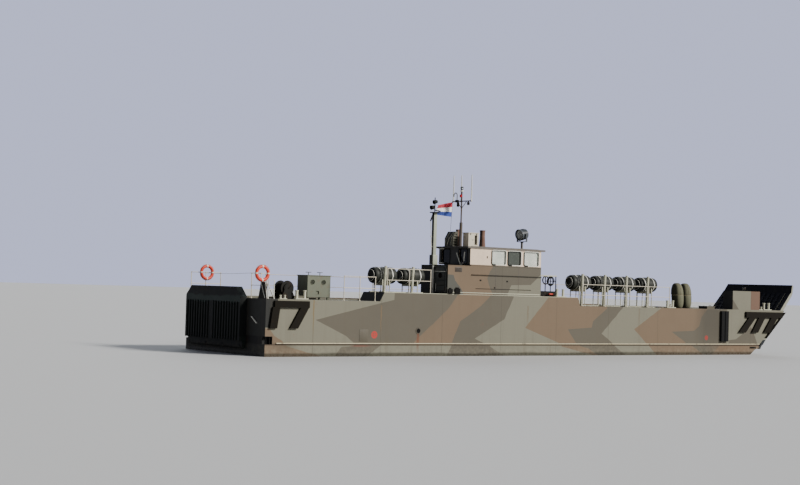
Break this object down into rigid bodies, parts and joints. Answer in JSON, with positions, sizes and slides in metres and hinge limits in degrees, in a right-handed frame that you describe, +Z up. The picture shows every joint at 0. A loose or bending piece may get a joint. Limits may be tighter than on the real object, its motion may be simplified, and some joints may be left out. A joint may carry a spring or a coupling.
{
  "type": "military landing craft",
  "caption": "Drive-through landing craft with a hinged ramp at each end, an offset wheelhouse, canister liferafts, rails, rubber fenders and turning pump jets.",
  "frame": {"origin": "keel plane under the middle of the overall length, on the centreline", "axes": "+X towards the bow, +Y to port, +Z up; the waterline is at z = 1.05 m"},
  "size_m": [36.3, 7.11, 9.62],
  "materials": {
    "camouflage_paint": "matt disruptive camouflage, weathered",
    "grey_green_paint": "matt grey-green",
    "dark_paint": "matt blue-black",
    "pale_paint": "satin cream",
    "fender_rubber": "matt black",
    "window_glass": "clear",
    "ensign_cloth": "woven bunting in three stripes",
    "lifebuoy_plastic": "orange red with pale bands",
    "canister_plastic": "dark olive, weathered",
    "jet_steel": "bare steel"
  },
  "bodies": {
    "hull": {"aft_house": "camouflage_paint", "bollard_port_bow": "pale_paint", "bollard_port_stern": "pale_paint", "bollard_starboard_bow": "pale_paint", "bollard_starboard_forward": "pale_paint", "bollard_starboard_raised": "pale_paint", "bollard_starboard_stern": "pale_paint", "bow_fender_port": "fender_rubber", "bow_fender_starboard": "fender_rubber", "bow_winch_house": "camouflage_paint", "deck_locker": "grey_green_paint", "ensign": "ensign_cloth", "glass_aft": "window_glass", "glass_front": "window_glass", "glass_port": "window_glass", "glass_starboard": "window_glass", "hull_bottom": "camouflage_paint", "lifebuoy_port": "lifebuoy_plastic", "lifebuoy_starboard": "lifebuoy_plastic", "main_mast": "grey_green_paint", "mooring_winch": "dark_paint", "post_fender_port": "fender_rubber", "post_fender_starboard": "fender_rubber", "raft_aft_1": "canister_plastic", "raft_aft_2": "canister_plastic", "raft_forward_1": "canister_plastic", "raft_forward_2": "canister_plastic", "raft_forward_3": "canister_plastic", "raft_forward_4": "canister_plastic", "raft_rack_aft": "pale_paint", "raft_rack_forward": "pale_paint", "rail_port": "pale_paint", "rail_starboard_aft": "pale_paint", "rail_starboard_forward": "pale_paint", "rail_starboard_raised": "pale_paint", "rail_stern_port": "pale_paint", "rail_stern_starboard": "pale_paint", "raised_deck": "camouflage_paint", "roof_locker": "pale_paint", "roof_ventilation_unit": "grey_green_paint", "signal_post": "dark_paint", "stern_corner_post": "dark_paint", "stern_fender_port": "fender_rubber", "stern_fender_starboard": "fender_rubber", "tube_fender_aft": "fender_rubber", "tube_fender_forward": "fender_rubber", "ventilation_box": "grey_green_paint", "wheelhouse_lower_walls": "camouflage_paint", "wheelhouse_roof": "camouflage_paint", "wheelhouse_window_band": "camouflage_paint", "wing_port": "camouflage_paint", "wing_starboard": "camouflage_paint"},
    "stern_ramp": {"stern_ramp": "dark_paint"},
    "bow_ramp": {"bow_ramp": "dark_paint"},
    "aft_house_door": {"aft_house_door": "dark_paint"},
    "pump_jet_aft": {"pump_jet_aft": "jet_steel"},
    "pump_jet_forward": {"pump_jet_forward": "jet_steel"},
    "searchlight": {"searchlight": "dark_paint"},
    "hatch_aft": {"hatch_aft": "camouflage_paint"},
    "hatch_forward": {"hatch_forward": "camouflage_paint"}
  },
  "joints": [
    {"name": "stern_ramp_hinge", "type": "hinge", "parent": "hull", "child": "stern_ramp", "pos_m": [-17.9, 0, 1.41], "axis": [0, -1, 0], "range_deg": [0, 115]},
    {"name": "bow_ramp_hinge", "type": "hinge", "parent": "hull", "child": "bow_ramp", "pos_m": [15.29495, 0, 1.41], "axis": [0, 1, 0], "range_deg": [0, 64]},
    {"name": "aft_house_door_hinge", "type": "hinge", "parent": "hull", "child": "aft_house_door", "pos_m": [-7.981, -3.354, 4.6], "axis": [0, 0, 1], "range_deg": [0, 100]},
    {"name": "pump_jet_aft_turn", "type": "hinge", "parent": "hull", "child": "pump_jet_aft", "pos_m": [-12.07, 0, 0.1], "axis": [0, 0, 1], "continuous": true},
    {"name": "pump_jet_forward_turn", "type": "hinge", "parent": "hull", "child": "pump_jet_forward", "pos_m": [8.6, 0, 0.1], "axis": [0, 0, 1], "continuous": true},
    {"name": "searchlight_pan", "type": "hinge", "parent": "hull", "child": "searchlight", "pos_m": [-2.5, -2.4, 6.6], "axis": [0, 0, 1], "range_deg": [-170, 170]},
    {"name": "hatch_aft_hinge", "type": "hinge", "parent": "hull", "child": "hatch_aft", "pos_m": [-15.67, -1.973, 3.662], "axis": [-1, 0, 0], "range_deg": [0, 105]},
    {"name": "hatch_forward_hinge", "type": "hinge", "parent": "hull", "child": "hatch_forward", "pos_m": [10.5, -2.603, 3.662], "axis": [-1, 0, 0], "range_deg": [0, 105]}
  ]
}
